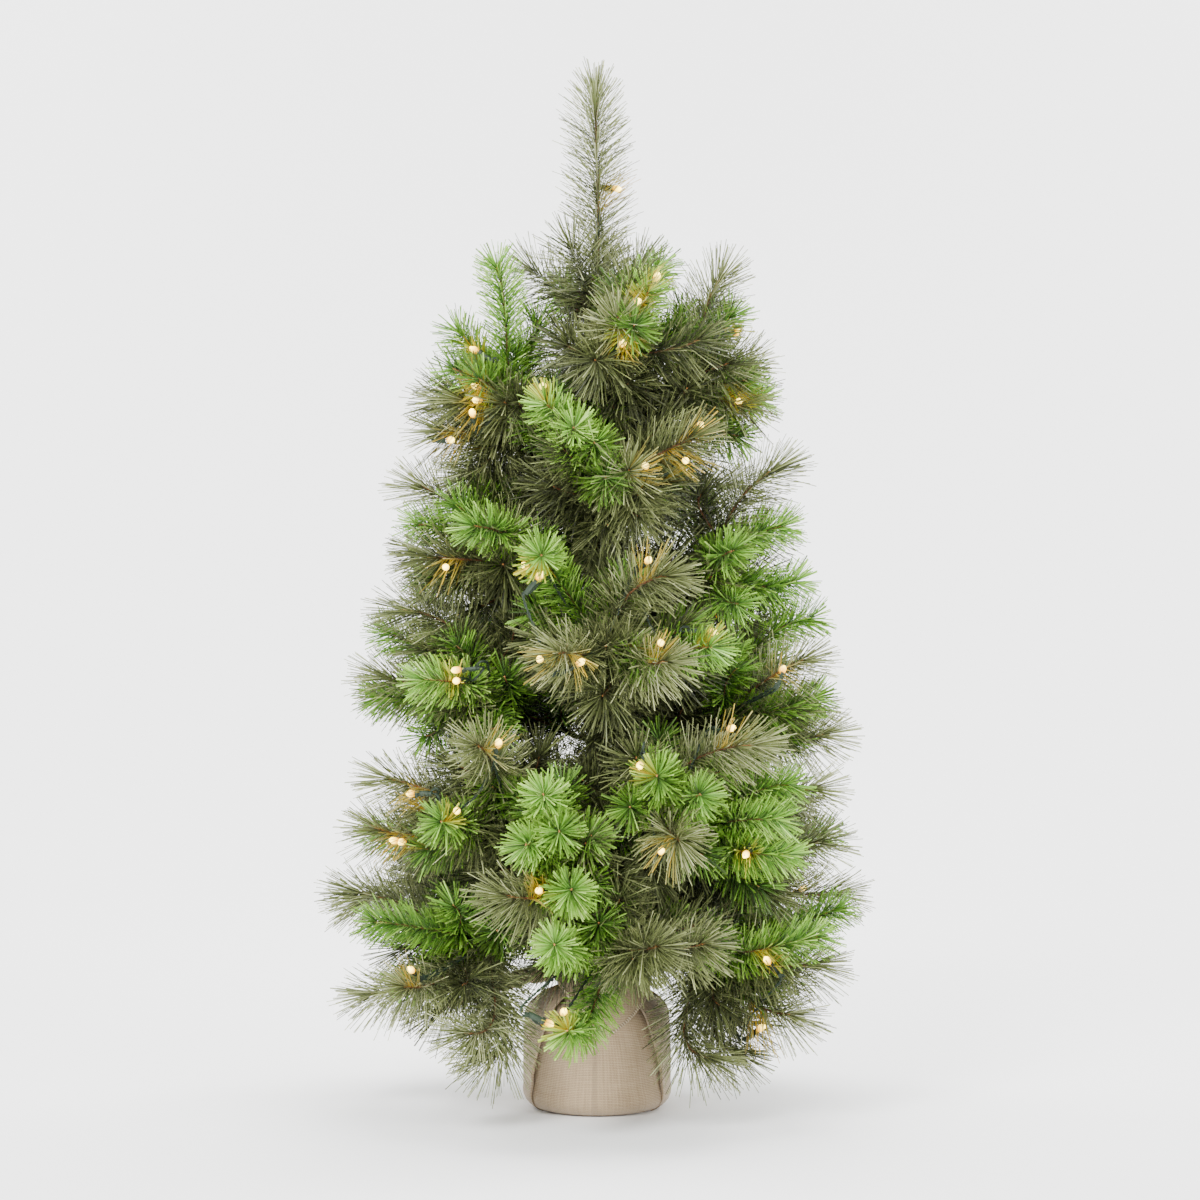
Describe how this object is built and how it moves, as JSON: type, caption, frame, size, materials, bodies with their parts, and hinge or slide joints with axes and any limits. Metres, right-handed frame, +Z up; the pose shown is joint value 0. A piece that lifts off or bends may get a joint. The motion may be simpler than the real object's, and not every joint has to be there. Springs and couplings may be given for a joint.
{
  "type": "artificial tabletop tree",
  "caption": "Small artificial evergreen on a taped pole with bendable wire branches, mixed needle tips and a string of warm lights, standing in a gathered burlap sack.",
  "frame": {"origin": "middle of the sack's flat bottom, on the surface the tree stands on", "axes": "+Z up the trunk, -Y the front, +X to the viewer's right"},
  "size_m": [0.4542, 0.4576, 0.9003],
  "materials": {
    "burlap": "coarse plain-weave jute burlap, tan-brown",
    "jute_twine": "twisted jute twine",
    "pot_plastic": "black moulded plastic",
    "concrete": "cast cement",
    "pole_wood": "plain wooden dowel",
    "brown_tape": "dark reddish-brown floral tape and tinsel fringe",
    "foliage": "two greens of PVC needles: bright flat fir and olive pine",
    "branch_wire": "twisted steel wire, rust-brown wrapped",
    "light_wire": "dark green PVC lead and sockets",
    "bulb_glow": "warm-white miniature lamp, lit",
    "box_plastic": "dark green moulded plastic",
    "switch_plastic": "black moulded plastic",
    "cell_case": "plain round cell, dark sleeve",
    "contact_steel": "plated spring steel"
  },
  "bodies": {
    "root": {"base_pot": "pot_plastic", "battery_box": "box_plastic", "battery_cell_1": "cell_case", "battery_cell_2": "cell_case", "battery_cell_3": "cell_case", "burlap_sack": "burlap", "concrete_weight": "concrete", "contact_plate_high": "contact_steel", "contact_plate_low": "contact_steel", "leader_tip": "foliage", "light_lead": "light_wire", "neck_twine": "jute_twine", "trunk_pole": "pole_wood", "trunk_tape": "brown_tape"},
    "battery_lid": {"battery_lid": "box_plastic"},
    "power_switch": {"power_switch": "switch_plastic"},
    "branch_01": {"branch_01_rod": "branch_wire", "branch_01_tips": "foliage"},
    "branch_02": {"branch_02_rod": "branch_wire", "branch_02_tips": "foliage"},
    "branch_03": {"branch_03_rod": "branch_wire", "branch_03_tips": "foliage"},
    "branch_04": {"branch_04_rod": "branch_wire", "branch_04_tips": "foliage"},
    "branch_05": {"branch_05_rod": "branch_wire", "branch_05_tips": "foliage"},
    "branch_06": {"branch_06_rod": "branch_wire", "branch_06_tips": "foliage"},
    "branch_07": {"branch_07_rod": "branch_wire", "branch_07_tips": "foliage"},
    "branch_08": {"branch_08_rod": "branch_wire", "branch_08_tips": "foliage"},
    "branch_09": {"branch_09_rod": "branch_wire", "branch_09_tips": "foliage"},
    "branch_10": {"branch_10_rod": "branch_wire", "branch_10_tips": "foliage"},
    "branch_11": {"branch_11_rod": "branch_wire", "branch_11_tips": "foliage"},
    "branch_12": {"branch_12_rod": "branch_wire", "branch_12_tips": "foliage"},
    "branch_13": {"branch_13_rod": "branch_wire", "branch_13_tips": "foliage"},
    "branch_14": {"branch_14_rod": "branch_wire", "branch_14_tips": "foliage"},
    "branch_15": {"branch_15_rod": "branch_wire", "branch_15_tips": "foliage"},
    "branch_16": {"branch_16_rod": "branch_wire", "branch_16_tips": "foliage"},
    "branch_17": {"branch_17_rod": "branch_wire", "branch_17_tips": "foliage"},
    "branch_18": {"branch_18_rod": "branch_wire", "branch_18_tips": "foliage"},
    "branch_19": {"branch_19_rod": "branch_wire", "branch_19_tips": "foliage"},
    "branch_20": {"branch_20_rod": "branch_wire", "branch_20_tips": "foliage"},
    "branch_21": {"branch_21_rod": "branch_wire", "branch_21_tips": "foliage"},
    "branch_22": {"branch_22_rod": "branch_wire", "branch_22_tips": "foliage"}
  },
  "joints": [
    {"name": "branch_01_bend", "type": "hinge", "parent": "root", "child": "branch_01", "pos_m": [-0.01034, -0.00504, 0.17], "axis": [-0.4384, 0.8988, 0], "range_deg": [-15, 60], "deforming": ["branch_01_tips"]},
    {"name": "branch_02_bend", "type": "hinge", "parent": "root", "child": "branch_02", "pos_m": [-0.00881, -0.00739, 0.222], "axis": [-0.6428, 0.766, 0], "range_deg": [-15, 60], "deforming": ["branch_02_tips"]},
    {"name": "branch_03_bend", "type": "hinge", "parent": "root", "child": "branch_03", "pos_m": [-0.01081, -0.00393, 0.32], "axis": [-0.342, 0.9397, 0], "range_deg": [-15, 55], "deforming": ["branch_03_tips"]},
    {"name": "branch_04_bend", "type": "hinge", "parent": "root", "child": "branch_04", "pos_m": [-0.00953, -0.00643, 0.435], "axis": [-0.5592, 0.829, 0], "range_deg": [-15, 50], "deforming": ["branch_04_tips"]},
    {"name": "branch_05_bend", "type": "hinge", "parent": "root", "child": "branch_05", "pos_m": [-0.00996, -0.00575, 0.546], "axis": [-0.5, 0.866, 0], "range_deg": [-15, 40], "deforming": ["branch_05_tips"]},
    {"name": "branch_06_bend", "type": "hinge", "parent": "root", "child": "branch_06", "pos_m": [0.0012, -0.01144, 0.173], "axis": [-0.9945, -0.1045, 0], "range_deg": [-15, 60], "deforming": ["branch_06_tips"]},
    {"name": "branch_07_bend", "type": "hinge", "parent": "root", "child": "branch_07", "pos_m": [-0.00259, -0.0112, 0.22], "axis": [-0.9744, 0.225, 0], "range_deg": [-15, 60], "deforming": ["branch_07_tips"]},
    {"name": "branch_08_bend", "type": "hinge", "parent": "root", "child": "branch_08", "pos_m": [0.00522, -0.01025, 0.258], "axis": [-0.891, -0.454, 0], "range_deg": [-15, 60], "deforming": ["branch_08_tips"]},
    {"name": "branch_09_bend", "type": "hinge", "parent": "root", "child": "branch_09", "pos_m": [0.001, -0.01146, 0.345], "axis": [-0.9962, -0.0872, 0], "range_deg": [-15, 50], "deforming": ["branch_09_tips"]},
    {"name": "branch_10_bend", "type": "hinge", "parent": "root", "child": "branch_10", "pos_m": [0, -0.0115, 0.488], "axis": [-1, 0, 0], "range_deg": [-15, 45], "deforming": ["branch_10_tips"]},
    {"name": "branch_11_bend", "type": "hinge", "parent": "root", "child": "branch_11", "pos_m": [0.01034, -0.00504, 0.163], "axis": [-0.4384, -0.8988, 0], "range_deg": [-15, 60], "deforming": ["branch_11_tips"]},
    {"name": "branch_12_bend", "type": "hinge", "parent": "root", "child": "branch_12", "pos_m": [0.00953, -0.00643, 0.22], "axis": [-0.5592, -0.829, 0], "range_deg": [-15, 60], "deforming": ["branch_12_tips"]},
    {"name": "branch_13_bend", "type": "hinge", "parent": "root", "child": "branch_13", "pos_m": [0.01081, -0.00393, 0.3], "axis": [-0.342, -0.9397, 0], "range_deg": [-15, 55], "deforming": ["branch_13_tips"]},
    {"name": "branch_14_bend", "type": "hinge", "parent": "root", "child": "branch_14", "pos_m": [0.01051, -0.00468, 0.42], "axis": [-0.4067, -0.9135, 0], "range_deg": [-15, 45], "deforming": ["branch_14_tips"]},
    {"name": "branch_15_bend", "type": "hinge", "parent": "root", "child": "branch_15", "pos_m": [0.01051, -0.00468, 0.558], "axis": [-0.4067, -0.9135, 0], "range_deg": [-15, 35], "deforming": ["branch_15_tips"]},
    {"name": "branch_16_bend", "type": "hinge", "parent": "root", "child": "branch_16", "pos_m": [0.00239, -0.01125, 0.603], "axis": [-0.9781, -0.2079, 0], "range_deg": [-15, 40], "deforming": ["branch_16_tips"]},
    {"name": "branch_17_bend", "type": "hinge", "parent": "root", "child": "branch_17", "pos_m": [0.01042, 0.00486, 0.23], "axis": [0.4226, -0.9063, 0], "range_deg": [-15, 60], "deforming": ["branch_17_tips"]},
    {"name": "branch_18_bend", "type": "hinge", "parent": "root", "child": "branch_18", "pos_m": [0, 0.0115, 0.222], "axis": [1, 0, 0], "range_deg": [-15, 60], "deforming": ["branch_18_tips"]},
    {"name": "branch_19_bend", "type": "hinge", "parent": "root", "child": "branch_19", "pos_m": [-0.01015, 0.0054, 0.24], "axis": [0.4695, 0.8829, 0], "range_deg": [-15, 60], "deforming": ["branch_19_tips"]},
    {"name": "branch_20_bend", "type": "hinge", "parent": "root", "child": "branch_20", "pos_m": [0.00708, 0.00906, 0.37], "axis": [0.788, -0.6157, 0], "range_deg": [-15, 60], "deforming": ["branch_20_tips"]},
    {"name": "branch_21_bend", "type": "hinge", "parent": "root", "child": "branch_21", "pos_m": [-0.00708, 0.00906, 0.39], "axis": [0.788, 0.6157, 0], "range_deg": [-15, 60], "deforming": ["branch_21_tips"]},
    {"name": "branch_22_bend", "type": "hinge", "parent": "root", "child": "branch_22", "pos_m": [0, 0.0115, 0.52], "axis": [1, 0, 0], "range_deg": [-15, 55], "deforming": ["branch_22_tips"]},
    {"name": "battery_lid_slide", "type": "slide", "parent": "root", "child": "battery_lid", "axis": [0, 0, 1], "range_m": [0, 0.012]},
    {"name": "power_switch_slide", "type": "slide", "parent": "root", "child": "power_switch", "axis": [0, 0, 1], "range_m": [0, 0.003]}
  ]
}
